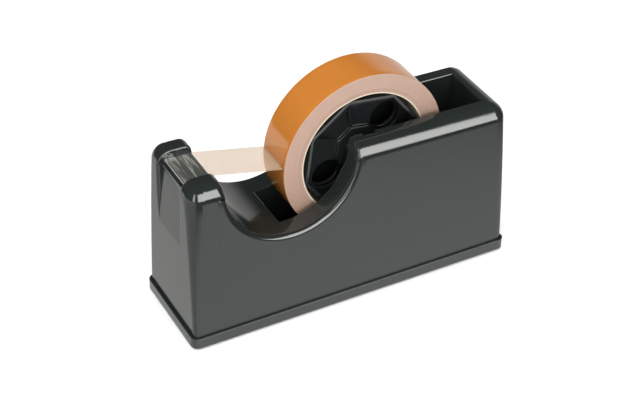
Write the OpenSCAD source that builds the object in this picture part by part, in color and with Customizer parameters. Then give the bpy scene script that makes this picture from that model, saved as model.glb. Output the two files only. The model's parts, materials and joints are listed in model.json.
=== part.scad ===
// Weighted bench dispenser for a roll of packing tape.
// X runs from the cutter, at the front, to the rear, Y across and Z up.
// The origin is on the bench, under the middle of the base tray.

/* [Tape roll] */
// Width of the tape
tape_w = 25; // [12:1:50]
// Bore of the card core
core_id = 76.2; // [60:0.2:92]
// Wall of the card core
core_wall = 3; // [1.5:0.5:5]
// Thickness of the tape now wound on the core
wound_t = 9.1; // [1:0.1:11.4]
// Thickness of tape on the fullest roll that the well takes
full_wound_t = 13.4; // [11.4:0.1:20]
// Thickness of the free strip of tape
strip_t = 0.3; // [0.2:0.1:0.5]
// Height at which the strip leaves the roll, above the axle
peel_rise = 5; // [2:1:12]

/* [Shell] */
// Width of the base tray, the widest part
base_w = 65; // [54:1:90]
// Height of the shell's top at the front, above the tray's underside
shell_h = 102.6; // [98:0.2:130]
// Fall of the top from the front to the rear
top_fall = 3.4; // [0:0.1:5]
// Draft of each end wall over the shell's height
draft_x = 1.2; // [0:0.1:3]
// Draft of each side wall over the shell's height
draft_y = 2.4; // [0:0.1:3]
// Wall thickness of the shell
wall = 2.5; // [1.5:0.1:3.5]
// Rounding of the top edges
edge_r = 8.5; // [4:0.5:10]
// Rounding of the upright corners at the base
corner_r = 3; // [2:0.5:8]

/* [Post, trough and well] */
// Length of the front post
post_l = 22; // [16:1:40]
// Radius of the finger trough
trough_r = 40; // [30:1:50]
// Depth of the trough's lowest line below the front's top
trough_depth = 45.1; // [42:0.1:52]
// Distance from the middle of the trough back to the axle
axle_back = 52.5; // [45:0.5:80]
// Depth of the axle below the front's top
axle_depth = 18.8; // [14:0.1:24]
// Clearance between the tape and each side of the well
well_gap = 3.3; // [2:0.1:5]
// Thickness of the walls of the well
well_wall = 2; // [1.5:0.1:2.5]
// Clear length of the well behind a full roll
pocket_l = 19.5; // [10:0.5:60]
// Room under a full roll, down to the floor weight's cover
roll_room = 7.8; // [6:0.1:12]
// Length of shell behind the well
rear_rail = 12.5; // [8:0.5:20]
// Rounding of the post's rear top edge
post_rear_r = 5; // [2:0.5:8]
// Rounding of the rails' front top edge
rail_front_r = 2; // [1:0.5:4]

/* [Cutter platform] */
// Clearance between the tape and each cheek of the post
cheek_gap = 1.5; // [1:0.1:3]
// Depth of the platform below the post's top
platform_drop = 4.2; // [3:0.1:10]
// Height of the sloping front panel, down from the front's top
panel_h = 43.2; // [20:0.2:60]
// Depth of the front panel behind the cheeks, at its top
panel_depth = 3.2; // [2:0.1:7]
// Thickness of the blade
blade_t = 0.6; // [0.4:0.1:1]
// Depth of the blade's folded leg
blade_leg = 5; // [3:0.5:7]
// Length of the blade's teeth
tooth_l = 1.2; // [0.6:0.1:2]
// Number of teeth
teeth = 20; // [10:1:40]

/* [Base tray] */
// Height of the tray's rim
rim_h = 6.5; // [4:0.5:12]
// Step from the rim's outside in to the shell
rim_step = 1.5; // [1.2:0.1:4]
// Thickness of the tray's floor
floor_t = 2.5; // [2:0.1:4]
// Clearance between the shell and the rim
rim_fit = 0.15; // [0.1:0.05:0.3]
// Diameter of the screws' shanks
screw_d = 3; // [2.5:0.5:4]
// Length of the screws
screw_l = 16; // [10:1:25]
// Diameter of the rubber feet
foot_d = 12; // [8:1:16]
// Depth of the feet in the tray
foot_seat = 1.2; // [0.5:0.1:1.5]
// Height of the feet below the tray
foot_proud = 1; // [0.5:0.1:3]

/* [Weights] */
// Height of the front weight
front_weight_h = 26; // [10:1:40]
// Room left round each weight
weight_gap = 1.5; // [0.5:0.1:4]

/* [Hub and spindle] */
// Diameter of the spindle inside the hub
spindle_d = 10; // [8:0.5:12]
// Diameter of the spindle's ends
spindle_end_d = 8; // [5:0.5:8]
// Running clearance on the radius
run_fit = 0.05; // [0.02:0.01:0.1]
// Thickness of the hub's drum
drum_wall = 2; // [1.5:0.1:3]
// Distance that the drum's rim sits inside the core's ends
rim_back = 0.2; // [0:0.1:1]
// Thickness of the hub's webs
web_t = 2; // [1.5:0.1:3]
// Distance from the hub's middle out to each web
web_out = 1; // [0.5:0.1:4]
// Radius of the eight-sided boss
boss_r = 14; // [11:0.5:16]
// Length of the boss on each side of the hub's middle
boss_l = 5; // [3:0.5:8]
// Wall of the hub's sleeve
sleeve_wall = 2; // [1.5:0.1:3]
// Margin round each finger hole
finger_margin = 1; // [0.5:0.1:3]
// Thickness of the hub's ribs
rib_t = 1.6; // [1:0.1:2.5]
// Turn of the hub
hub_turn = 15.5; // [0:0.5:45]

/* [Hidden] */
$fn = 96;
hull_fn = 32;
eps = 1;
slip = 0.2;

core_r = core_id / 2 + core_wall;
roll_r = core_r + wound_t;
full_roll_r = core_r + full_wound_t;

shell_l = post_l + trough_r + axle_back + full_roll_r + pocket_l + rear_rail;
shell_w = base_w - 2 * rim_step;
shell_foot = floor_t;
rear_h = shell_h - top_fall;
front_x = -shell_l / 2;
post_rear_x = front_x + post_l;
trough_x = post_rear_x + trough_r;
trough_z = shell_h - trough_depth + trough_r;
axle_x = trough_x + axle_back;
axle_z = shell_h - axle_depth;
well_w = tape_w + 2 * well_gap;
well_front = axle_x - full_roll_r;
well_rear = axle_x + full_roll_r + pocket_l;
well_foot = axle_z - full_roll_r - roll_room;
channel_w = tape_w + 2 * cheek_gap;
platform_z = shell_h - platform_drop;
above = shell_h + 30;

// the cutter's nose, behind a groove that parts it from the panel's thin top edge
panel_lip = 0.5;
panel_drop = 0.8;
groove_w = 1.8;
groove_d = 4;
blade_l = 5;
blade_side_gap = 0.3;
blade_fit = 0.05;
panel_foot_z = shell_h - panel_h;
panel_foot_x = front_x + draft_x * (panel_foot_z - shell_foot) / (shell_h - shell_foot);
panel_top_x = front_x + draft_x + panel_depth;
panel_top_z = platform_z - panel_drop;
nose_x = panel_top_x + groove_w;
groove_z = platform_z - groove_d;
leg_x = nose_x + blade_l;
blade_w = channel_w - 2 * blade_side_gap;
tooth_root = 0.01;

// screw pillars stand in the shell's corners and run into its walls
pillar_merge = 0.5;
pillar_cap = 8;
pillar_r = screw_d / 2 + wall;
pillar_x = shell_l / 2 - wall - pillar_r + pillar_merge;
pillar_y = shell_w / 2 - wall - pillar_r + pillar_merge;
pillar_h = screw_l + pillar_cap;
head_r = screw_d;
head_h = screw_d / 2;
drive_w = 0.6;
thread_fit = 0.05;

foot_gap = 4;
foot_inset = 2;
foot_x = pillar_x - pillar_r - foot_d / 2 - foot_gap;
foot_y = pillar_y - foot_inset;

floor_weight_h = well_foot - floor_t - 2 * weight_gap;

// the free strip leaves the platform's rear edge and runs clear of the roll
strip_clear = 0.1;
peel_gap = 0.6;

// the hub is eight-sided, and its drum's corners touch the core
core_touch = 0.03;
flat = cos(180 / 8);
drum_r = core_id / 2 - core_touch;
drum_in_r = drum_r - drum_wall;
drum_half = tape_w / 2 - rim_back;
sleeve_r = spindle_d / 2 + run_fit + sleeve_wall;
sleeve_half = well_w / 2 - slip;
finger_at = flat * (boss_r + drum_in_r) / 2;
finger_r = flat * (drum_in_r - boss_r) / 2 - finger_margin;
finger_turns = [22.5, 202.5];
rib_turns = [90, 135, 270, 315];
rib_root = 1;
rib_back = 1;
end_l = well_wall - slip;

// height of the sloping top at x
function top_z(x) =
    shell_h - top_fall * (x + shell_l / 2 - draft_x - edge_r) / (shell_l - 2 * (draft_x + edge_r));

// lifts what is drawn from the tray's underside to where it stands on its feet
module on_feet() translate([0, 0, foot_proud]) children();

// extrudes an X-Z outline from y0 to y1
module along_y(y0, y1) translate([0, y1, 0]) rotate([90, 0, 0]) linear_extrude(y1 - y0) children();

module rounded_rect(l, w, r) {
    square([l - 2 * r, w], center = true);
    square([l, w - 2 * r], center = true);
    for (sx = [-1, 1], sy = [-1, 1]) translate([sx * (l / 2 - r), sy * (w / 2 - r)]) circle(r);
}

// the drafted block, with its walls and top moved in by inset
module drafted_block(inset, foot) {
    r_low = max(corner_r - inset, 1);
    r_top = edge_r - inset;
    hull() {
        for (sx = [-1, 1], sy = [-1, 1]) {
            translate([sx * (shell_l / 2 - inset - r_low), sy * (shell_w / 2 - inset - r_low), foot])
                cylinder(r = r_low, h = 0.5, $fn = hull_fn);
            translate([sx * (shell_l / 2 - draft_x - inset - r_top),
                       sy * (shell_w / 2 - draft_y - inset - r_top),
                       (sx < 0 ? shell_h : rear_h) - inset - r_top])
                sphere(r_top, $fn = hull_fn);
        }
    }
}

// a corner of radius r to be cut off, with its tip at the origin and its body in the third quadrant
module corner_2d(r) difference() {
    translate([-r, -r]) square(r + eps);
    translate([-r, -r]) circle(r);
}

// the trough's outline, grown by extra
module trough_2d(extra) {
    translate([trough_x, trough_z]) circle(trough_r + extra);
    translate([trough_x - trough_r - extra, trough_z]) square([2 * (trough_r + extra), above - trough_z]);
}

module front_panel_2d() polygon([
    [front_x - eps, panel_foot_z - (panel_foot_x - front_x + eps) * (panel_top_z - panel_foot_z)
                                   / (panel_top_x - panel_foot_x)],
    [panel_top_x, panel_top_z],
    [panel_top_x + panel_lip, panel_top_z],
    [panel_top_x + panel_lip, groove_z],
    [nose_x, groove_z],
    [nose_x, above],
    [front_x - eps, above]]);

// everything in the post's middle that stays solid
module post_core() {
    along_y(-channel_w / 2 - wall, channel_w / 2 + wall) {
        front_panel_2d();
        translate([wall, 0]) front_panel_2d();
        translate([front_x, platform_z - wall]) square([post_l + wall, above]);
        translate([nose_x, platform_z - blade_leg - wall]) square([blade_l + wall, above]);
    }
}

module post_cuts() {
    along_y(-channel_w / 2, channel_w / 2) {
        front_panel_2d();
        translate([front_x - eps, platform_z]) square([post_l + 2 * eps, above]);
        translate([nose_x - eps, platform_z - blade_t]) square([blade_l + eps + blade_fit, above]);
    }
    along_y(-blade_w / 2 - blade_fit, blade_w / 2 + blade_fit)
        translate([leg_x - blade_t - blade_fit, platform_z - blade_leg - blade_fit])
            square([blade_t + 2 * blade_fit, blade_leg + eps]);
}

module spindle_slots() {
    translate([axle_x, 0, axle_z]) rotate([90, 0, 0])
        cylinder(r = spindle_end_d / 2 + run_fit, h = well_w + 2 * well_wall + 2 * slip, center = true);
    translate([axle_x - spindle_end_d / 2 - run_fit, -well_w / 2 - well_wall - slip, axle_z])
        cube([spindle_end_d + 2 * run_fit, well_w + 2 * well_wall + 2 * slip, above - axle_z]);
}

module pillars() {
    for (sx = [-1, 1], sy = [-1, 1])
        translate([sx * pillar_x, sy * pillar_y, shell_foot]) cylinder(r = pillar_r, h = pillar_h);
}

module cavity() {
    difference() {
        drafted_block(wall, shell_foot - eps);
        along_y(-shell_w, shell_w) trough_2d(wall);
        translate([well_front - well_wall, -well_w / 2 - well_wall, well_foot])
            cube([well_rear - well_front + 2 * well_wall, well_w + 2 * well_wall, above]);
        post_core();
        pillars();
    }
}

module body_shell() color([0.24, 0.26, 0.25]) on_feet() difference() {
    drafted_block(0, shell_foot);
    cavity();
    along_y(-shell_w, shell_w) {
        trough_2d(0);
        translate([post_rear_x, shell_h]) corner_2d(post_rear_r);
        translate([trough_x + trough_r, top_z(trough_x + trough_r)]) mirror([1, 0]) corner_2d(rail_front_r);
    }
    translate([well_front, -well_w / 2, well_foot - eps])
        cube([well_rear - well_front, well_w, above]);
    post_cuts();
    spindle_slots();
    for (sx = [-1, 1], sy = [-1, 1])
        translate([sx * pillar_x, sy * pillar_y, shell_foot - eps])
            cylinder(r = screw_d / 2 + thread_fit, h = screw_l + eps);
}

module base_tray() color([0.22, 0.24, 0.23]) on_feet() difference() {
    linear_extrude(rim_h) rounded_rect(shell_l + 2 * rim_step, base_w, corner_r + rim_step);
    translate([0, 0, floor_t]) linear_extrude(rim_h)
        rounded_rect(shell_l + 2 * rim_fit, shell_w + 2 * rim_fit, corner_r + rim_fit);
    for (sx = [-1, 1], sy = [-1, 1]) {
        translate([sx * pillar_x, sy * pillar_y, -eps])
            cylinder(r = screw_d / 2 + thread_fit, h = floor_t + 2 * eps);
        translate([sx * pillar_x, sy * pillar_y, 0])
            cylinder(r1 = head_r, r2 = screw_d / 2, h = head_h);
        translate([sx * foot_x, sy * foot_y, -eps]) cylinder(d = foot_d, h = foot_seat + eps);
    }
}

module base_screws() color([0.7, 0.71, 0.72]) on_feet() {
    for (sx = [-1, 1], sy = [-1, 1]) translate([sx * pillar_x, sy * pillar_y, 0]) difference() {
        union() {
            cylinder(r1 = head_r, r2 = screw_d / 2, h = head_h);
            cylinder(d = screw_d, h = screw_l);
        }
        for (turn = [0, 90]) rotate(turn) translate([0, 0, -eps])
            linear_extrude(eps + head_h / 2) square([head_r, drive_w], center = true);
    }
}

module foot(sx, sy) color([0.12, 0.12, 0.12])
    translate([sx * foot_x, sy * foot_y, 0]) cylinder(d = foot_d, h = foot_proud + foot_seat);

module foot_front_near() foot(-1, -1);
module foot_front_far() foot(-1, 1);
module foot_rear_near() foot(1, -1);
module foot_rear_far() foot(1, 1);

module front_weight() color([0.36, 0.36, 0.37]) on_feet() {
    x0 = front_x + wall + draft_x + weight_gap;
    x1 = well_front - well_wall - weight_gap;
    half = pillar_y - pillar_r - weight_gap;
    translate([x0, -half, floor_t]) cube([x1 - x0, 2 * half, front_weight_h]);
}

module floor_weight() color([0.36, 0.36, 0.37]) on_feet() {
    x0 = well_front - well_wall;
    x1 = pillar_x - pillar_r - weight_gap;
    half = shell_w / 2 - wall - draft_y - weight_gap;
    translate([x0, -half, floor_t]) cube([x1 - x0, 2 * half, floor_weight_h]);
}

module cutter_blade() color([0.78, 0.79, 0.8]) on_feet() {
    pitch = blade_w / teeth;
    translate([0, 0, platform_z - blade_t]) linear_extrude(blade_t) {
        translate([nose_x, -blade_w / 2]) square([blade_l, blade_w]);
        for (i = [0 : teeth - 1]) translate([nose_x, -blade_w / 2 + i * pitch])
            polygon([[tooth_root, 0], [-tooth_l, pitch / 2], [tooth_root, pitch]]);
    }
    along_y(-blade_w / 2, blade_w / 2)
        translate([leg_x - blade_t, platform_z - blade_leg]) square([blade_t, blade_leg]);
}

// the strip lies on the platform as far as the teeth, and runs back to the roll
module tape_strip() color([0.85, 0.72, 0.62]) on_feet() {
    x_cut = nose_x - tooth_l;
    x_edge = post_rear_x + strip_clear;
    z_peel = axle_z + peel_rise;
    x_peel = axle_x - sqrt(pow(roll_r + peel_gap, 2) - pow(peel_rise, 2)) - strip_t;
    along_y(-tape_w / 2, tape_w / 2) polygon([
        [x_cut, platform_z], [x_edge, platform_z], [x_peel, z_peel],
        [x_peel, z_peel + strip_t], [x_edge, platform_z + strip_t], [x_cut, platform_z + strip_t]]);
}

module spindle() color([0.14, 0.14, 0.15]) on_feet() translate([axle_x, 0, axle_z]) rotate([90, 0, 0]) {
    cylinder(d = spindle_d, h = well_w - 2 * slip, center = true);
    cylinder(d = spindle_end_d, h = well_w + 2 * end_l, center = true);
}

// one half of the hub, on the -Y side of its middle, with its axis along Y through the origin
module hub_half() {
    difference() {
        union() {
            along_y(-drum_half, 0) difference() {
                circle(drum_r, $fn = 8);
                circle(drum_in_r, $fn = 8);
            }
            along_y(-web_out - web_t, -web_out) difference() {
                circle(drum_r - drum_wall / 2, $fn = 8);
                for (turn = finger_turns) rotate(turn) translate([finger_at, 0]) circle(finger_r);
            }
            along_y(-boss_l, 0) circle(boss_r, $fn = 8);
            along_y(-sleeve_half, 0) circle(sleeve_r);
            for (turn = rib_turns) rotate([0, -turn, 0]) linear_extrude(rib_t, center = true)
                polygon([[boss_r - rib_root, -web_out - web_t / 2],
                         [drum_r - drum_wall / 2, -web_out - web_t / 2],
                         [drum_r - drum_wall / 2, -drum_half + rib_back],
                         [boss_r - rib_root, -boss_l + rib_back]]);
        }
        rotate([90, 0, 0]) cylinder(r = spindle_d / 2 + run_fit, h = 2 * well_w, center = true);
    }
}

module place_hub() translate([axle_x, 0, axle_z]) rotate([0, -hub_turn, 0]) children();

module hub_near_half() color([0.11, 0.11, 0.12]) on_feet() place_hub() hub_half();
module hub_far_half() color([0.11, 0.11, 0.12]) on_feet() place_hub() mirror([0, 1, 0]) hub_half();

module ring(r_out, r_in) translate([axle_x, 0, axle_z]) along_y(-tape_w / 2, tape_w / 2) difference() {
    circle(r_out);
    circle(r_in);
}

module card_core() color([0.93, 0.9, 0.84]) on_feet() ring(core_r, core_id / 2);
module tape_winding() color([0.82, 0.52, 0.2]) on_feet() ring(roll_r, core_r);

body_shell();
base_tray();
front_weight();
floor_weight();
base_screws();
foot_front_near();
foot_front_far();
foot_rear_near();
foot_rear_far();
cutter_blade();
tape_strip();
spindle();
hub_near_half();
hub_far_half();
card_core();
tape_winding();
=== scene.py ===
import json
import math

import bmesh
import bpy
import numpy as np
from mathutils import Matrix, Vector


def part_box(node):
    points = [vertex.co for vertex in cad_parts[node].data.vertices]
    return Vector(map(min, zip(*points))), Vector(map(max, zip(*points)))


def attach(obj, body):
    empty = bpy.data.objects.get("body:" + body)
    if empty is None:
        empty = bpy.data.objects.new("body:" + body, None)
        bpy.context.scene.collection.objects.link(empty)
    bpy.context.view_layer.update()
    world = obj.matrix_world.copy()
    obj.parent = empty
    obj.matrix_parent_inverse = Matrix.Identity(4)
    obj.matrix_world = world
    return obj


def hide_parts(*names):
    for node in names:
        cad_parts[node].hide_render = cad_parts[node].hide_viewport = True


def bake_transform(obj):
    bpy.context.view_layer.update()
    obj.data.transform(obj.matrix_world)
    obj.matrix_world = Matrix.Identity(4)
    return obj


# A weighted bench dispenser for packing tape, built up from the base tray to the free strip of tape.
# Sizes are in millimetres until a mesh is made, because that is how the parts are drawn.
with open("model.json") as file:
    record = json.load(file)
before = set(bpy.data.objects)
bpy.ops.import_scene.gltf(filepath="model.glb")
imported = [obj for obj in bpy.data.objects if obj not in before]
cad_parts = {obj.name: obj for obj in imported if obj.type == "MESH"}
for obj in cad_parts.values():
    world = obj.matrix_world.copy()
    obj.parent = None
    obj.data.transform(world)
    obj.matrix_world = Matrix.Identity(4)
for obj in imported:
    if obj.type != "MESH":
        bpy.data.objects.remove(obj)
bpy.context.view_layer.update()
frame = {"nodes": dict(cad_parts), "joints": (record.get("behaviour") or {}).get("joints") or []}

# ---------------------------------------------------------------------------------------------
# Base tray: one shallow moulding in dark grey polystyrene that closes the shell from below.
# Four countersunk screws hold it, and its rim stands a little proud of the shell all round.

MM = 0.001


class Wire:
    """One value in a node tree. Arithmetic on it adds Math nodes to the tree."""

    def __init__(self, tree, socket):
        self.tree, self.socket = tree, socket

    def math(self, operation, *values):
        node = self.tree.nodes.new("ShaderNodeMath")
        node.operation = operation
        for socket, value in zip(node.inputs, values):
            feed(self.tree, socket, value)
        return Wire(self.tree, node.outputs[0])

    def __add__(self, other):
        return self.math("ADD", self, other)

    def __sub__(self, other):
        return self.math("SUBTRACT", self, other)

    def __rsub__(self, other):
        return self.math("SUBTRACT", other, self)

    def __mul__(self, other):
        return self.math("MULTIPLY", self, other)

    def __truediv__(self, other):
        return self.math("DIVIDE", self, other)

    __radd__ = __add__
    __rmul__ = __mul__


def feed(tree, socket, value):
    """Links a Wire to a socket, or sets a constant on it."""
    if isinstance(value, Wire):
        tree.links.new(value.socket, socket)
    else:
        socket.default_value = value


class Finish:
    """The node tree of a material or of the world, cleared and ready to fill."""

    def __init__(self, owner):
        owner.use_nodes = True
        self.owner, self.tree = owner, owner.node_tree
        self.tree.nodes.clear()

    def node(self, kind, settings=None, inputs=None, out=0):
        """Adds a node, makes its settings, then sets or links its inputs, and returns one output."""
        node = self.tree.nodes.new("ShaderNode" + kind)
        for name, value in (settings or {}).items():
            setattr(node, name, value)
        for key, value in (inputs or {}).items():
            feed(self.tree, node.inputs[key], value)
        return Wire(self.tree, node.outputs[out]) if node.outputs else None

    def place(self, scale=(1, 1, 1)):
        """Object coordinates in metres, stretched by scale."""
        at = self.node("TexCoord", out="Object")
        return self.node("Mapping", inputs={"Vector": at, "Scale": scale})

    def noise(self, size, scale=(1, 1, 1), detail=2.0):
        """Noise from 0 to 1 whose features are about size millimetres across."""
        return self.node("TexNoise", inputs={"Vector": self.place(scale), "Scale": 1 / (size * MM),
                                             "Detail": detail})

    def ramp(self, value, low, high, to_low=0.0, to_high=1.0):
        """Takes value from low..high to to_low..to_high with soft ends."""
        return self.node("MapRange", {"interpolation_type": "SMOOTHSTEP"},
                         {"Value": value, 1: low, 2: high, 3: to_low, 4: to_high})

    def mix(self, share, first, second):
        """A colour that goes from first to second as share goes from 0 to 1."""
        return self.node("Mix", {"data_type": "RGBA"}, {0: share, 6: first, 7: second}, out=2)

    def bump(self, height, depth, under=None):
        """Surface relief of height 0 to 1, depth millimetres deep."""
        inputs = {"Height": height, "Distance": depth * MM, "Strength": 1.0}
        if under is not None:
            inputs["Normal"] = under
        return self.node("Bump", inputs=inputs)

    def surface(self, **inputs):
        """Ends a material with a Principled shader."""
        named = {name.replace("_", " "): value for name, value in inputs.items()}
        shader = self.node("BsdfPrincipled", inputs=named)
        self.node("OutputMaterial", inputs={"Surface": shader})
        return self.owner


def finish(name):
    return Finish(bpy.data.materials.new(name))


def shade(level):
    """A grey, or three levels from 0 to 1, as a shader colour."""
    levels = (level,) * 3 if isinstance(level, (int, float)) else level
    return (*levels, 1.0)


def moulded(name, colour, gloss, grain):
    """Injection-moulded plastic: soft blotches, fine grain, hairline scuffs and paler worn edges."""
    make = finish(name)
    blotch = make.noise(26)
    pores = make.noise(grain, detail=3)
    scuffs = make.ramp(make.noise(2.2, (0.06, 1, 1), 4), 0.66, 0.74)
    edge = make.node("NewGeometry", out="Pointiness")
    worn = make.ramp(edge, 0.53, 0.62) * make.ramp(make.noise(5), 0.4, 0.7)
    deep, pale = [c * 0.9 for c in colour], [c * 1.12 for c in colour]
    base = make.mix(blotch, shade(deep), shade(pale))
    base = make.mix(worn * 0.35, base, shade([c * 2.2 + 0.01 for c in colour]))
    rough = gloss + (blotch - 0.5) * 0.05 + scuffs * 0.06 + worn * 0.1
    relief = make.bump(pores, 0.012, make.bump(make.noise(9), 0.02))
    return make.surface(Base_Color=base, Roughness=rough, Normal=relief, IOR=1.5)


def merged_copy(node, name):
    """A copy of a CAD node's mesh with its loose triangles joined."""
    mesh = frame["nodes"][node].data.copy()
    mesh.name = name
    mesh.materials.clear()
    work = bmesh.new()
    work.from_mesh(mesh)
    bmesh.ops.remove_doubles(work, verts=work.verts, dist=1e-6)
    bmesh.ops.dissolve_limit(work, angle_limit=math.radians(0.5), verts=work.verts, edges=work.edges)
    work.to_mesh(mesh)
    work.free()
    piece = bpy.data.objects.new(name, mesh)
    bpy.context.collection.objects.link(piece)
    return piece


def soften(piece, width, segments=3, angle=30):
    """Rounds the sharp edges of a piece by width millimetres."""
    bevel = piece.modifiers.new("edge_radius", "BEVEL")
    bevel.width, bevel.segments = width * MM, segments
    bevel.limit_method, bevel.angle_limit = "ANGLE", math.radians(angle)
    bevel.harden_normals = True
    piece.data.shade_smooth()
    piece.data.set_sharp_from_angle(angle=math.radians(angle))


def fit(piece, node, body, material):
    """Puts a finished piece in a CAD node's place, on its body."""
    piece.data.materials.append(material)
    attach(piece, body)
    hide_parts(node)
    return piece


TRAY_GREY = (0.020, 0.024, 0.023)
tray = merged_copy("base_tray", "tray_moulding")
soften(tray, 0.7)
fit(tray, "base_tray", "dispenser", moulded("tray_polystyrene", TRAY_GREY, 0.2, 0.5))

# ---------------------------------------------------------------------------------------------
# Feet: four discs of soft black rubber, pressed into round seats in the tray.

rubber = finish("foot_rubber_black")
rubber_dust = rubber.ramp(rubber.noise(1.5, detail=4), 0.5, 0.8)
foot_rubber = rubber.surface(
    Base_Color=rubber.mix(rubber_dust * 0.5, shade(0.012), shade(0.05)),
    Roughness=0.7 + rubber_dust * 0.15,
    Normal=rubber.bump(rubber.noise(0.4, detail=3), 0.05))
for corner in ("front_near", "front_far", "rear_near", "rear_far"):
    foot = merged_copy("foot_" + corner, "rubber_foot_" + corner)
    soften(foot, 0.3)
    fit(foot, "foot_" + corner, "dispenser", foot_rubber)

# ---------------------------------------------------------------------------------------------
# Weights: two cast iron blocks that lie on the tray, one in the post and one under the roll.
# They are hidden in use, and are as they leave the sand, with broken edges and a dull skin.

iron = finish("weight_cast_iron")
sand = iron.noise(0.9, detail=5)
rust = iron.ramp(iron.noise(14, detail=4), 0.55, 0.75)
cast_iron = iron.surface(
    Base_Color=iron.mix(rust * 0.6, shade((0.09, 0.09, 0.095)), shade((0.11, 0.06, 0.035))),
    Metallic=0.7 - rust * 0.5,
    Roughness=0.6 + sand * 0.2,
    Normal=iron.bump(sand, 0.25))
for place in ("front_weight", "floor_weight"):
    block = merged_copy(place, "iron_block_" + place.split("_")[0])
    soften(block, 1.2)
    fit(block, place, "dispenser", cast_iron)

# ---------------------------------------------------------------------------------------------
# Shell: one thick-walled moulding in glossy dark grey plastic. A drafted block is cut across by
# the finger trough, hollowed by the well that takes the roll, and stepped for the cutter.

SHELL_GREY = (0.014, 0.0175, 0.0165)
shell_low, shell_high = (np.array(corner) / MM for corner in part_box("body_shell"))
foot_z, top_front_z = shell_low[2], shell_high[2]
half_length, half_foot_w = shell_high[0], shell_high[1]
axle = np.array(next(j for j in frame["joints"] if j["name"] == "roll_spin")["pos_m"]) / MM
DRAFT_X, DRAFT_Y = 1.2, 2.4
EDGE_R, CORNER_R = 8.5, 3.0
EASE_L, EASE_IN = 7, 0.2
TOP_FALL = 3.4
TROUGH_R, TROUGH_DEPTH = 40.0, 45.1
POST_L = 22.0
SMALL_R = 2.75
POST_REAR_R = 4.0
crown_z = top_front_z - EDGE_R
crown_x = half_length - DRAFT_X - EDGE_R
post_rear_x = POST_L - half_length
trough_x = post_rear_x + TROUGH_R
trough_z = top_front_z - TROUGH_DEPTH + TROUGH_R


def top_z(x):
    """Height of the sloping top: it falls evenly from the front crown to the rear one."""
    return top_front_z - TOP_FALL * (x + crown_x) / (2 * crown_x)


def rise(z):
    """Share of the height, from 0 at the foot to 1 at the crown, along which the walls lean in."""
    return (z - foot_z) / (crown_z - foot_z)


def half_width(z):
    """Half the width of the block at height z; the last few millimetres ease in to the rounding."""
    ease = np.clip((z - crown_z + EASE_L) / EASE_L, 0, 1) ** 2
    return half_foot_w - DRAFT_Y * rise(z) - EASE_IN * ease


def outside(x, y, z):
    """Distance outside the shell: the rounded block less the trough, with a small radius between.

    Distances to the end, the top and the side are taken from the radius r back, and their length as
    a vector, less r, is the distance to the rounded block. Its upright corners are sharper at the
    foot than at the crown. The trough is cut in the same manner.
    """
    lean = np.clip(rise(z), 0, 1.2)
    end = np.abs(x) - (half_length - DRAFT_X * lean)
    top = z - top_z(x)
    side = np.abs(y) - half_width(z)
    r = CORNER_R + (EDGE_R - CORNER_R) * np.clip(lean, 0, 1) ** 1.7
    faces = np.stack([end, top, side])
    block = np.minimum(faces.max(0), -r) + np.linalg.norm(np.maximum(faces + r, 0), axis=0)
    cut = TROUGH_R - np.hypot(x - trough_x, np.minimum(z - trough_z, 0))
    near_post = np.clip((z - crown_z) / 4, 0, 1) * (x < trough_x)
    r = SMALL_R + (POST_REAR_R - SMALL_R) * near_post
    pair = np.stack([block, cut])
    return np.minimum(pair.max(0), -r) + np.linalg.norm(np.maximum(pair + r, 0), axis=0)


def reach(start, way, far=16.0, halvings=30):
    """Points where rays from start along way leave the shell, found by halving the way to far."""
    low, high = np.zeros(way.shape[:-1]), np.full(way.shape[:-1], far)
    for _ in range(halvings):
        middle = (low + high) / 2
        out = outside(*np.moveaxis(start + way * middle[..., None], -1, 0)) > 0
        low, high = np.where(out, low, middle), np.where(out, middle, high)
    return start + way * low[..., None]


def span(first, last, steps):
    """Evenly spaced rows from one tuple to another."""
    share = np.linspace(0, 1, steps + 1)[:, None]
    return np.array(first) * (1 - share) + np.array(last) * share


def fan(centre, first, last, steps):
    """Rows (x, z, way x, way z) that turn about one centre, with angles in degrees from +X."""
    turn = np.radians(np.linspace(first, last, steps + 1))
    return np.column_stack([np.full_like(turn, centre[0]), np.full_like(turn, centre[1]),
                            np.cos(turn), np.sin(turn)])


# The cutter's recess and the well, as lines that the middle of the shell follows.
CHEEK_Y, WELL_Y, SLOT_Y = 14.0, 15.8, 18.0
PANEL_FOOT_Z = top_front_z - 43.2
PANEL_DEPTH, PANEL_LIP, PANEL_DROP = 3.2, 0.5, 0.8
BLADE_L, BLADE_T = 5.0, 0.6
PLATFORM_DROP = 4.2
GROOVE_W, GROOVE_D = 1.8, 4.0
INSET = 5.0
WELL_FRONT_X, WELL_REAR_X = trough_x - 2.0, 88.0
WELL_FOOT_Z = 22.5
SLOT_R = 4.05
WELL_DRAFT = 0.3
PLATFORM_R = 2.5
platform_z = top_front_z - PLATFORM_DROP
panel_top_x = DRAFT_X + PANEL_DEPTH - half_length
panel_top_z = platform_z - PANEL_DROP
nose_x = panel_top_x + GROOVE_W
blade_rear_x = nose_x + BLADE_L + 0.05
blade_z = platform_z - BLADE_T
groove_z = platform_z - GROOVE_D
slope = math.degrees(math.atan(TOP_FALL / (2 * crown_x)))
panel_foot_x = DRAFT_X * rise(PANEL_FOOT_Z) - half_length
post_fan = (post_rear_x - INSET, top_z(post_rear_x) - INSET)
rail_fan = (trough_x + TROUGH_R + INSET, top_z(trough_x + TROUGH_R) - INSET)
low_end = platform_z - PLATFORM_R

# Each stretch is (rows of x, z, way; rows of the middle's x, z or None where it follows the
# outside; half width of the recess; whether the spindle's slots open there).
stretches = []


def stretch(rows, middle=None, recess=WELL_Y, slot=False):
    stretches.append((np.asarray(rows), middle, recess, slot))


def wall_rows(x, z0, z1, way, steps):
    """Rows up or down an end wall, facing way along X."""
    return span((x, z0, way, 0.0), (x, z1, way, 0.0), steps)


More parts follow.
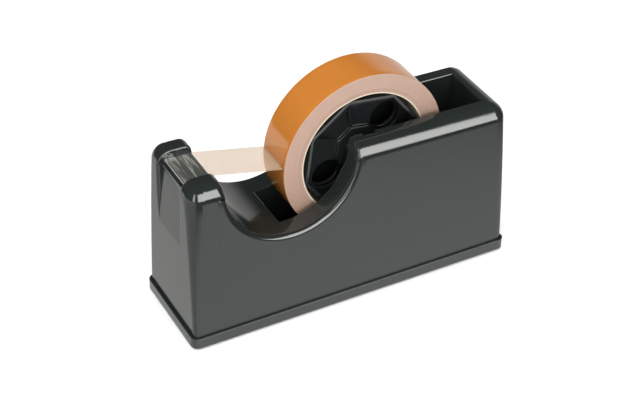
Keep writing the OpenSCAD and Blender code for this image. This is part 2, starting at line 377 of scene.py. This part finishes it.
def top_rows(x0, x1, steps):
    """Rows along the top, INSET inside the shell and square to its slope."""
    tilt = math.radians(slope)
    return span((x0, top_z(x0) - INSET, math.sin(tilt), math.cos(tilt)),
                (x1, top_z(x1) - INSET, math.sin(tilt), math.cos(tilt)), steps)


def bend(centre, r, first, last, steps):
    """Points (x, z) on an arc, with angles in degrees from +X."""
    turn = np.radians(np.linspace(first, last, steps + 1))
    return np.column_stack([centre[0] + r * np.cos(turn), centre[1] + r * np.sin(turn)])


front_in = EDGE_R - half_length
stretch(wall_rows(front_in, foot_z, foot_z + 0.5, -1.0, 1), recess=CHEEK_Y)
stretch(wall_rows(front_in, foot_z + 5, PANEL_FOOT_Z - 0.5, -1.0, 8), recess=CHEEK_Y)
stretch(wall_rows(front_in, PANEL_FOOT_Z, crown_z, -1.0, 22),
        span((panel_foot_x, PANEL_FOOT_Z), (panel_top_x, panel_top_z), 22), CHEEK_Y)
lip_x = panel_top_x + PANEL_LIP
groove_line = np.vstack([
    span((panel_top_x, panel_top_z), (lip_x, panel_top_z), 2)[1:],
    span((lip_x, panel_top_z), (lip_x, groove_z), 4)[1:],
    span((lip_x, groove_z), (nose_x, groove_z), 2)[1:],
    span((nose_x, groove_z), (nose_x, blade_z), 4)[1:]])
stretch(fan((-crown_x, crown_z), 180, 90 - slope, 12)[1:], groove_line, CHEEK_Y)
shelf_line = np.vstack([
    span((nose_x, blade_z), (blade_rear_x, blade_z), 3)[1:],
    span((blade_rear_x, blade_z), (blade_rear_x, platform_z), 1)[1:],
    span((blade_rear_x, platform_z), (post_fan[0] - 0.5, platform_z), 3)[1:]])
stretch(top_rows(-crown_x, post_fan[0], 7)[1:], shelf_line, CHEEK_Y)
edge_line = bend((post_rear_x - PLATFORM_R, low_end), PLATFORM_R, 90, 0, 16)
post_rear = np.vstack([
    fan(post_fan, 90 - slope, 0, 12),
    wall_rows(post_fan[0], post_fan[1], low_end, 1.0, 4)[1:]])
stretch(post_rear, edge_line, CHEEK_Y)


def trough_rows(first, last, steps):
    """Rows round the trough, INSET inside the shell, facing its centre, with angles from +X."""
    turn = np.radians(np.linspace(first, last, steps + 1))
    r = TROUGH_R + INSET
    return np.column_stack([trough_x + r * np.cos(turn), trough_z + r * np.sin(turn),
                            -np.cos(turn), -np.sin(turn)])


LIP_R = 1.2
END_DROP = 0.15
well_turn = 270 - math.degrees(math.asin((trough_x - WELL_FRONT_X) / TROUGH_R))
lip_turn = math.degrees(math.asin(LIP_R / TROUGH_R))
first_turn = 180 + math.degrees(math.asin((trough_z - low_end + END_DROP) / TROUGH_R))
last_turn = 360 - math.degrees(math.asin((trough_z - rail_fan[1] + END_DROP) / TROUGH_R))
stretch(trough_rows(first_turn, well_turn - lip_turn, 40))
well_edge_z = trough_z - TROUGH_R * math.cos(math.radians(270 - well_turn))
stretch(trough_rows(well_turn - lip_turn, well_turn, 4),
        bend((WELL_FRONT_X - LIP_R, well_edge_z - LIP_R), LIP_R, 90, 0, 4))


def well_floor(rows_x):
    """Middle points on the well's floor under these places along X."""
    return np.column_stack([rows_x, np.full_like(rows_x, WELL_FOOT_Z)])


def well_reach(rows, first, last):
    """Middle points on the well's floor, spread from first to last over these rows."""
    return well_floor(np.linspace(first, last, len(rows)))


rows = trough_rows(well_turn + 0.6, last_turn, 40)
stretch(rows, well_reach(rows, WELL_FRONT_X + WELL_DRAFT, trough_x + TROUGH_R))
rows = fan(rail_fan, 180, 90 - slope, 12)
stretch(rows, well_reach(rows, trough_x + TROUGH_R + 0.1, rail_fan[0]))
slot_turn = np.linspace(0, math.pi, 15)
slot_x = axle[0] - SLOT_R * np.cos(slot_turn)
rows = top_rows(rail_fan[0] + 0.4, slot_x[0] - 0.05, 3)
stretch(rows, well_floor(rows[:, 0]))
rows = np.vstack([top_rows(x, x, 1)[:1] for x in slot_x])
stretch(rows, well_floor(rows[:, 0]), slot=True)
rows = top_rows(slot_x[-1] + 0.05, WELL_REAR_X - LIP_R - 0.4, 16)
stretch(rows, well_floor(rows[:, 0]))
rear_lip = bend((WELL_REAR_X + LIP_R, top_z(WELL_REAR_X) - LIP_R), LIP_R, 180, 90, 4)
stretch(top_rows(WELL_REAR_X, WELL_REAR_X + LIP_R, 4), rear_lip)
stretch(top_rows(WELL_REAR_X + LIP_R + 0.1, crown_x, 2))
rear_z = top_z(crown_x) - EDGE_R
stretch(fan((crown_x, rear_z), 90 - slope, 0, 12))
stretch(wall_rows(half_length - EDGE_R, rear_z - 0.5, foot_z + 5, 1.0, 14))
stretch(wall_rows(half_length - EDGE_R, foot_z + 0.5, foot_z, 1.0, 1))

RIM_R = 1.1
CHEEK_RIM_R, MOUTH_RIM_R = 1.0, 1.8
MIDDLE = np.array([0, 0.2, 0.5, 0.8])
SPREAD = np.array([0.86, 0.9, 0.93, 0.96])
RIM_TURN = np.radians([90, 72, 54, 36, 18, 0])
FLAT = np.array([0.08, 0.5, 0.92])
ROUND = np.linspace(0, 1, 23)[None, :]
TIGHT = ([0, 0.15, 0.85, 1], [0, 0.45, 0.86, 1])
FILL = np.array([0.01, 0.3, 0.65, 0.99, 1.0])
FOOT_SHARE = 0.04
CHORD_Y = 2.0
RIM_OF_GAP, LEDGE_OF_GAP = 0.8, 0.8
DEEP_START, DEEP_SPAN = 2, 14


def shell_section(rows, middle, recess, slot):
    """Points of one stretch of the shell's near half: rows along the outline by columns across.

    The columns run from the centre line over the recess's floor, up its wall past the spindle's
    slot, over the wall's rounded rim, across the top, round the outer edge by rays that turn from
    the outline's way to the side wall, below its rounding, and down the side wall to the foot.
    """
    count = len(rows)
    base, way = rows[:, [0, 1]], rows[:, [2, 3]]
    sit = half_width(base[:, 1]) - EDGE_R
    start = np.column_stack([base[:, 0], np.full(count, CHORD_Y), base[:, 1]])
    line = reach(start, np.column_stack([way[:, 0], np.zeros(count), way[:, 1]]))[:, [0, 2]]
    floor = line if middle is None else np.asarray(middle)
    gap = np.hypot(*(line - floor).T)
    rim = np.full(count, RIM_R)
    if recess == CHEEK_Y:
        rim = CHEEK_RIM_R + (MOUTH_RIM_R - CHEEK_RIM_R) * np.clip(-way[:, 0], 0, 1)
    rim = np.minimum(rim, gap * RIM_OF_GAP)
    centre = line - way * rim[:, None]
    outer = np.full(count, SLOT_Y if slot else recess)
    ledge = floor + (centre - floor) * LEDGE_OF_GAP
    if slot:
        ledge[:, 1] = axle[2] - np.sqrt(np.maximum(SLOT_R ** 2 - (rows[:, 0] - axle[0]) ** 2, 0))

    def points(xz, y):
        return np.column_stack([xz[:, 0], np.broadcast_to(y, count), xz[:, 1]])

    columns = [points(floor, recess * share) for share in MIDDLE]
    if middle is None:
        columns += [points(floor, recess * share) for share in SPREAD[:3]]
    else:
        columns += [points(floor, recess), points(ledge, recess), points(ledge, outer)]
    for turn in RIM_TURN:
        tip = centre + way * (rim * math.cos(turn))[:, None]
        columns.append(points(tip, outer + rim * (1 - math.sin(turn))))
    flat_y = outer + rim
    columns += [points(line, flat_y + (sit - flat_y) * share) for share in FLAT]
    below = top_z(base[:, 0]) - EDGE_R - 0.3
    goal_z = np.minimum(base[:, 1], below)
    start = np.column_stack([base[:, 0], sit, base[:, 1]])
    goal = np.column_stack([base[:, 0], half_width(goal_z), goal_z]) - start
    goal /= np.linalg.norm(goal, axis=1, keepdims=True)
    ahead = np.column_stack([way[:, 0], np.zeros(count), way[:, 1]])
    between = np.arccos(np.clip((ahead * goal).sum(1), -1, 1))[:, None]
    in_trough = (base[:, 0] > post_fan[0] - 0.1) & (base[:, 0] < rail_fan[0] + 0.1)
    deep = np.clip((below - base[:, 1] + DEEP_START) / DEEP_SPAN, 0, 1) * in_trough
    deep = deep[:, None]
    share = ROUND * (1 - deep) + np.interp(ROUND, *TIGHT) * deep
    rays = (ahead[:, None] * np.sin((1 - share) * between)[..., None]
            + goal[:, None] * np.sin(share * between)[..., None]) / np.sin(between)[..., None]
    edge = reach(np.broadcast_to(start[:, None], rays.shape), rays)
    columns += list(np.moveaxis(edge, 1, 0))
    return np.stack(columns, 1)


shell_rows = np.vstack([shell_section(*part) for part in stretches])
rim_line = shell_rows[:, -1]
order = np.linspace(-1, 1, len(rim_line))
foot_x = rim_line[:, 0] * (1 - FOOT_SHARE) + (half_length - EDGE_R) * FOOT_SHARE * order
foot_line = np.column_stack([
    foot_x, np.full_like(foot_x, half_width(foot_z)), np.full_like(foot_x, foot_z)])
fill = rim_line[:, None] + (foot_line - rim_line)[:, None] * FILL[None, :, None]
shell_rows = np.concatenate([shell_rows, fill], 1)


def grid_faces(rows, columns, wrap_rows=False, wrap_columns=False):
    """Corner numbers of the quads of a grid of rows by columns, closed round on either way if asked."""
    r = np.arange(rows if wrap_rows else rows - 1)[:, None]
    c = np.arange(columns if wrap_columns else columns - 1)[None, :]
    r2, c2 = (r + 1) % rows, (c + 1) % columns
    quads = [r * columns + c, r * columns + c2, r2 * columns + c2, r2 * columns + c]
    return np.stack(np.broadcast_arrays(*quads), -1).reshape(-1, 4)


def make_piece(name, points, faces):
    """A mesh object from points in millimetres and corner numbers, welded and facing outwards."""
    mesh = bpy.data.meshes.new(name)
    mesh.from_pydata((np.asarray(points) * MM).tolist(), [], np.asarray(faces).tolist())
    work = bmesh.new()
    work.from_mesh(mesh)
    bmesh.ops.remove_doubles(work, verts=work.verts, dist=2e-6)
    bmesh.ops.dissolve_degenerate(work, dist=1e-7, edges=work.edges)
    bmesh.ops.recalc_face_normals(work, faces=work.faces)
    work.to_mesh(mesh)
    work.free()
    piece = bpy.data.objects.new(name, mesh)
    bpy.context.collection.objects.link(piece)
    mesh.shade_smooth()
    return piece


near = shell_rows * np.array([1, -1, 1])
both = np.concatenate([near.reshape(-1, 3), shell_rows.reshape(-1, 3)])
quads = grid_faces(*shell_rows.shape[:2])
shell = make_piece("shell_moulding", both, np.concatenate([quads, quads[:, ::-1] + near[..., 0].size]))
shell.data.set_sharp_from_angle(angle=math.radians(32))
skin = shell.modifiers.new("wall", "SOLIDIFY")
skin.thickness, skin.offset, skin.use_rim = 1.2 * MM, -1.0, True
shading = shell.modifiers.new("even_normals", "WEIGHTED_NORMAL")
shading.keep_sharp = True
shell_grey = moulded("shell_glossy_grey", SHELL_GREY, 0.13, 0.45)
fit(shell, "body_shell", "dispenser", shell_grey)

# ---------------------------------------------------------------------------------------------
# Screws: four countersunk steel screws, driven up through the tray into the shell's pillars.

steel = finish("screw_zinc_steel")
tarnish = steel.noise(3, detail=4)
screw_steel = steel.surface(
    Base_Color=steel.mix(tarnish, shade(0.42), shade((0.6, 0.61, 0.63))),
    Metallic=1.0, Roughness=0.28 + tarnish * 0.15, Normal=steel.bump(steel.noise(0.3), 0.01))
screws = merged_copy("base_screws", "countersunk_screws")
soften(screws, 0.08, 2)
fit(screws, "base_screws", "dispenser", screw_steel)

# ---------------------------------------------------------------------------------------------
# Cutter: a strip of bright spring steel with pressed teeth, let into the platform's front edge
# and folded down into the groove before it.

bright = finish("blade_bright_steel")
drawn = bright.noise(0.5, (1, 0.04, 1), 3)
blade_steel = bright.surface(
    Base_Color=bright.mix(drawn, shade(0.55), shade(0.72)),
    Metallic=1.0, Roughness=0.2 + drawn * 0.12, Normal=bright.bump(drawn, 0.01))
blade = merged_copy("cutter_blade", "toothed_blade")
soften(blade, 0.06, 1)
fit(blade, "cutter_blade", "dispenser", blade_steel)

# ---------------------------------------------------------------------------------------------
# Spindle: a plain turned rod in black acetal. Its thinner ends drop into the slots of the well.

acetal = finish("spindle_black_acetal")
turned = acetal.noise(0.5, (1, 6, 1))
spindle_black = acetal.surface(
    Base_Color=acetal.mix(turned, shade(0.012), shade(0.022)),
    Roughness=0.3 + turned * 0.1, Normal=acetal.bump(turned, 0.01))
rod = merged_copy("spindle", "spindle_rod")
soften(rod, 0.4)
fit(rod, "spindle", "spindle", spindle_black)

# ---------------------------------------------------------------------------------------------
# Hub: two glossy black halves that push into the card core from each side and meet in its
# middle. Each is an eight-sided drum with a web, finger holes, ribs and a boss on the spindle.

HUB_BLACK = (0.015, 0.017, 0.0175)
hub_black = moulded("hub_glossy_black", HUB_BLACK, 0.14, 1.2)
for side in ("near", "far"):
    half = merged_copy(f"hub_{side}_half", f"hub_moulding_{side}")
    soften(half, 0.35, 3, 25)
    fit(half, f"hub_{side}_half", "roll", hub_black)

# ---------------------------------------------------------------------------------------------
# Card core: a tube of spiral-wound pinkish card lined with cream paper. Its plies show at the
# ends as rings of two close colours.

core_low, core_high = (np.array(corner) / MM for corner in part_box("card_core"))
tape_half = core_high[1]
core_r = (core_high[0] - core_low[0]) / 2
CORE_IN_R = 38.1
TURNS = 256


def turned_ring(name, profile, steps=TURNS):
    """A ring: a closed profile of (radius, y) carried round the axle."""
    profile = np.asarray(profile)
    turn = np.linspace(0, 2 * math.pi, steps, endpoint=False)[:, None]
    points = np.stack([axle[0] + profile[:, 0] * np.cos(turn),
                       np.broadcast_to(profile[:, 1], (steps, len(profile))),
                       axle[2] + profile[:, 0] * np.sin(turn)], -1)
    return make_piece(name, points.reshape(-1, 3), grid_faces(steps, len(profile), True, True))


def ring_profile(r_in, r_out, half, round_in, round_out, plies, depth):
    """Section of a wound ring: its end faces wave by depth with each ply, and its corners are round."""
    r = np.linspace(r_in + round_in, r_out - round_out, plies * 4 + 1)
    wave = depth * (0.5 - 0.5 * np.cos(np.linspace(0, 2 * math.pi * plies, len(r))))
    quarter = np.linspace(0, math.pi / 2, 5)[1:-1]
    out_r = r_out - round_out + round_out * np.sin(quarter)
    out_y = half - round_out + round_out * np.cos(quarter)
    in_r = r_in + round_in - round_in * np.sin(quarter)
    in_y = half - round_in + round_in * np.cos(quarter)
    face_r = np.concatenate([in_r[::-1], r, out_r])
    face_y = np.concatenate([in_y[::-1], half - wave, out_y])
    flat = half - round_out
    across = np.linspace(flat, -flat, 7)
    return np.concatenate([np.column_stack([face_r, face_y]),
                           np.column_stack([np.full(7, r_out), across]),
                           np.column_stack([face_r, -face_y])[::-1],
                           np.column_stack([np.full(7, r_in), across[::-1]])])


def along_axes(make, kind):
    """The three parts of a texture coordinate of this kind, as Wires."""
    parts = make.tree.nodes.new("ShaderNodeSeparateXYZ")
    feed(make.tree, parts.inputs[0], make.node("TexCoord", out=kind))
    return [Wire(make.tree, socket) for socket in parts.outputs]


def axle_radius(make):
    """Distance from the axle in millimetres, as a Wire."""
    x, _, z = along_axes(make, "Object")
    x, z = x - float(axle[0] * MM), z - float(axle[2] * MM)
    square = x * x + z * z
    return square.math("SQRT", square) / MM


CARD_CREAM = (0.60, 0.52, 0.40)
CARD_PINK, CARD_TAN = (0.36, 0.235, 0.18), (0.29, 0.18, 0.13)

card = finish("core_card_white")
radius = axle_radius(card)
ply = card.node("TexNoise", {"noise_dimensions": "1D"},
                {"W": radius * 3.0, "Scale": 1.0, "Detail": 1.0})
fibre = card.noise(0.8, detail=5)
bore = 1 - card.ramp(radius, CORE_IN_R + 0.5, CORE_IN_R + 1.0)
plies = card.mix(card.ramp(ply, 0.35, 0.65), shade(CARD_TAN), shade(CARD_PINK))
card_white = card.surface(
    Base_Color=card.mix(bore, plies, shade(CARD_CREAM)),
    Roughness=0.75 + fibre * 0.15,
    Normal=card.bump(fibre, 0.05, card.bump(ply, 0.1)))
core = turned_ring("card_core_tube", ring_profile(CORE_IN_R, core_r, tape_half, 0.25, 0.05, 4, 0.06))
core.data.set_sharp_from_angle(angle=math.radians(50))
fit(core, "card_core", "roll", card_white)

# ---------------------------------------------------------------------------------------------
# Wound tape: amber polypropylene film, glossy on the outside. At its ends the edges of the
# film show as hundreds of fine pale rings, a little uneven where the winding ran off line.

roll_low, roll_high = (np.array(corner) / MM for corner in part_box("tape_winding"))
roll_r = (roll_high[0] - roll_low[0]) / 2
AMBER = (0.43, 0.158, 0.028)
AMBER_DEEP = (0.36, 0.12, 0.018)
EDGE_PINK = (0.40, 0.265, 0.205)
EDGE_TAN = (0.33, 0.205, 0.15)
AIR_AMBER = (0.75, 0.36, 0.12)

film = finish("wound_tape_amber")
radius = axle_radius(film)
sideways = along_axes(film, "Normal")[1]
end_face = film.ramp(sideways.math("ABSOLUTE", sideways), 0.5, 0.8)
rings = film.node("TexNoise", {"noise_dimensions": "1D"},
                  {"W": radius * 2.2, "Scale": 1.0, "Detail": 5.0})
wrap = film.noise(16, (1, 0.3, 1), 3)
air = film.ramp(film.noise(2.4, (1, 2.5, 1), 5), 0.62, 0.7)
amber = film.mix(wrap, shade(AMBER_DEEP), shade(AMBER))
amber = film.mix(air * 0.12, amber, shade(AIR_AMBER))
pale = film.mix(film.ramp(rings, 0.3, 0.7), shade(EDGE_TAN), shade(EDGE_PINK))
film_relief = film.bump(rings * end_face, 0.12, film.bump(film.noise(7, (1, 0.4, 1)), 0.03))
wound_amber = film.surface(
    Base_Color=film.mix(end_face, amber, pale),
    Roughness=0.07 + end_face * 0.4 + air * 0.05,
    Normal=film_relief, IOR=1.5)
winding = turned_ring("wound_tape_ring", ring_profile(core_r, roll_r, tape_half, 0.05, 0.25, 9, 0.05))
winding.data.set_sharp_from_angle(angle=math.radians(50))
fit(winding, "tape_winding", "roll", wound_amber)

# ---------------------------------------------------------------------------------------------
# Free strip: the tape's loose end. It is stuck down on the platform as far as the teeth, and
# runs back from the platform's rear edge to the roll, with a slight curl across its width.

PEEL_RISE, PEEL_GAP = 5.0, 0.6
STRIP_T = 0.1
CURL, NARROWING, RIPPLE = 0.5, 0.002, 0.04
TEETH_L = 1.2
peel_x = axle[0] - math.sqrt((roll_r + PEEL_GAP) ** 2 - PEEL_RISE ** 2)
cut_x = nose_x - TEETH_L


def strip_points(rows=160, columns=24):
    """The strip's sheet: along it, flat on the platform and then straight to the roll; across it,
    a crown (1 - t * t) that grows to CURL in the middle of the free length."""
    s = np.linspace(0, 1, rows)[:, None]
    t = np.linspace(-1, 1, columns)[None, :]
    x = cut_x + (peel_x - cut_x) * s
    free = np.clip((x - post_rear_x) / (peel_x - post_rear_x), 0, 1)
    z = platform_z + STRIP_T * 1.2 + (axle[2] + PEEL_RISE - platform_z) * free
    crown = CURL * np.sin(math.pi * free) * (1 - t * t)
    ripple = RIPPLE * np.sin(3.1 * t + 0.4) * np.sin(x * 1.7) * (1 - np.sign(free))
    y = t * tape_half * (1 - NARROWING * np.sin(math.pi * free))
    return np.stack(np.broadcast_arrays(x, y, z + crown + ripple), -1)


sheet = strip_points()
count = sheet.shape[0] * sheet.shape[1]
upper = sheet + np.array([0, 0, STRIP_T])
quads = grid_faces(*sheet.shape[:2])
numbers = np.arange(count).reshape(sheet.shape[:2])
border = np.concatenate([numbers[:, 0], numbers[-1, 1:], numbers[-2::-1, -1], numbers[0, -2:0:-1]])
after = np.roll(border, -1)
sides = np.column_stack([border, after, after + count, border + count])
strip = make_piece("free_tape_strip", np.concatenate([sheet.reshape(-1, 3), upper.reshape(-1, 3)]),
                   np.concatenate([quads, quads[:, ::-1] + count, sides]))
strip.data.set_sharp_from_angle(angle=math.radians(50))

# The grey of the stuck end is a painted reflection: it stands in for the gloss of film pressed onto the
# dark platform.
FREE_AMBER, STUCK_PAINTED_SHEEN_GREY, TORN_PALE = (0.52, 0.38, 0.25), (0.30, 0.30, 0.27), (0.46, 0.47, 0.44)
clear = finish("clear_tape_film")
length_x = along_axes(clear, "Object")[0]
stuck = clear.ramp(length_x, (post_rear_x - 1.4) * MM, (post_rear_x - 0.7) * MM, 1.0, 0.0)
torn = clear.ramp(length_x, (cut_x + 0.25) * MM, (cut_x + 0.5) * MM, 1.0, 0.0)
# The stuck end's streaks are partly real ridges in the bump and partly a painted reflection: they raise
# the film's alpha so the painted grey sheen shows in stripes.
streak_ridges_and_painted_sheen = clear.ramp(clear.noise(1.6, (1, 0.1, 1), 3), 0.5, 0.72)
glue = clear.noise(1.2, (0.5, 1, 1), 4)
film_colour = clear.mix(stuck, shade(FREE_AMBER), shade(STUCK_PAINTED_SHEEN_GREY))
film_colour = clear.mix(torn, film_colour, shade(TORN_PALE))
clear_film = clear.surface(
    Base_Color=film_colour,
    Alpha=0.43 - stuck * (0.36 - streak_ridges_and_painted_sheen * 0.45) + torn * 0.5,
    Roughness=0.08 + glue * 0.08,
    Normal=clear.bump(streak_ridges_and_painted_sheen * stuck, 0.12, clear.bump(glue, 0.02)), IOR=1.48)
strip.data.materials.append(clear_film)
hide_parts("tape_strip")
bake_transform(strip)

# ---------------------------------------------------------------------------------------------
# Bench and light: a plain pale floor, softboxes overhead, in front and at the side, and a studio
# that only the gloss reflects: a tall white card to the right and one to the left of the camera,
# and a pale table below.

BENCH, BENCH_Z = 4000, -0.05
corners = [(x * BENCH, y * BENCH, BENCH_Z) for x, y in ((-1, -1), (1, -1), (1, 1), (-1, 1))]
floor = make_piece("bench_top", corners, [(0, 1, 2, 3)])
paper = finish("bench_white")
paper.surface(Base_Color=shade(0.82), Roughness=0.9, Emission_Color=shade(1.0), Emission_Strength=0.1)
floor.data.materials.append(paper.owner)
floor.visible_glossy = False


def card_light(name, place, target, size, power):
    """A rectangular softbox at place, turned to face target, with both in millimetres."""
    light = bpy.data.lights.new(name, "AREA")
    light.shape, light.size, light.size_y, light.energy = "RECTANGLE", size[0] * MM, size[1] * MM, power
    lamp = bpy.data.objects.new(name, light)
    bpy.context.collection.objects.link(lamp)
    away = np.array(place, float) - np.array(target, float)
    lamp.location = tuple(np.array(place) * MM)
    z = away / np.linalg.norm(away)
    x = np.cross([0, 0, 1.0], z) if abs(z[2]) < 0.99 else np.array([1.0, 0, 0])
    x /= np.linalg.norm(x)
    lamp.rotation_euler = Matrix(np.column_stack([x, np.cross(z, x), z]).tolist()).to_euler()
    return lamp


for lamp in (card_light("overhead_softbox", (0, 0, 2500), (0, 0, 0), (3500, 3500), 120),
             card_light("front_softbox", (-500, -2200, 900), (0, 0, 80), (1800, 1400), 42),
             card_light("side_softbox", (-2200, -300, 900), (0, 0, 80), (1800, 1400), 30)):
    lamp.visible_glossy = False

world = bpy.data.worlds.new("studio")
bpy.context.scene.world = world
world.cycles_visibility.diffuse = False
studio = Finish(world)
dx, dy, dz = along_axes(studio, "Generated")
compass = dx.math("ARCTAN2", dx, 0 - dy) * (180 / math.pi)
height = dz.math("ARCSINE", dz) * (180 / math.pi)


def window(value, low, high, soft):
    """1 between low and high, falling to 0 over soft at each end."""
    over = studio.ramp(value, high - soft, high + soft)
    return studio.ramp(value, low - soft, low + soft) * (1 - over)


right_card = window(compass, -22, 38, 2) * window(height, -5, 45, 2)
left_card = window(compass, -57, -46, 1.5) * window(height, -5, 45, 2)
near_side, far_side = window(compass, -40, 85, 12), window(compass, 95, 170, 12)
table_right = (1 - studio.ramp(height, -33, -28)) * near_side
table_far = (1 - studio.ramp(height, -38, -34)) * far_side
far_haze = (1 - studio.ramp(height, 10, 30)) * window(compass, 100, 146, 3)
table_left = (1 - studio.ramp(height, -9, -4)) * (1 - window(compass, -40, 170, 12))
left_fade = 0.8 + 0.5 * studio.ramp(height, -32, -18)
level = (0.03 + right_card * 11.0 + left_card * 9.0 + (table_right + table_far) * 1.4
         + table_left * left_fade + far_haze * 0.75)
sky = studio.node("Background", inputs={"Color": shade((1.0, 1.0, 0.97)), "Strength": level})
studio.node("OutputWorld", inputs={"Surface": sky})

CAMERA_AT = (-0.36951, -0.66350, 0.61022)
AZIMUTH, ELEVATION, ROLL = map(math.radians, (-28.678, 36.477, 0.922))
back = np.array([math.sin(AZIMUTH) * math.cos(ELEVATION), -math.cos(AZIMUTH) * math.cos(ELEVATION),
                 math.sin(ELEVATION)])
level_right = np.array([math.cos(AZIMUTH), math.sin(AZIMUTH), 0])
level_up = np.cross(back, level_right)
right = level_right * math.cos(ROLL) + level_up * math.sin(ROLL)
camera = bpy.data.objects.new("camera", bpy.data.cameras.new("camera"))
bpy.context.collection.objects.link(camera)
camera.data.lens, camera.data.sensor_width = 92.80, 36.0
camera.data.clip_start, camera.data.clip_end = 0.05, 20.0
facing = Matrix(np.column_stack([right, np.cross(back, right), back]).tolist())
camera.matrix_world = Matrix.LocRotScale(CAMERA_AT, facing, None)
bpy.context.scene.camera = camera
bpy.context.scene.view_settings.view_transform = "Standard"
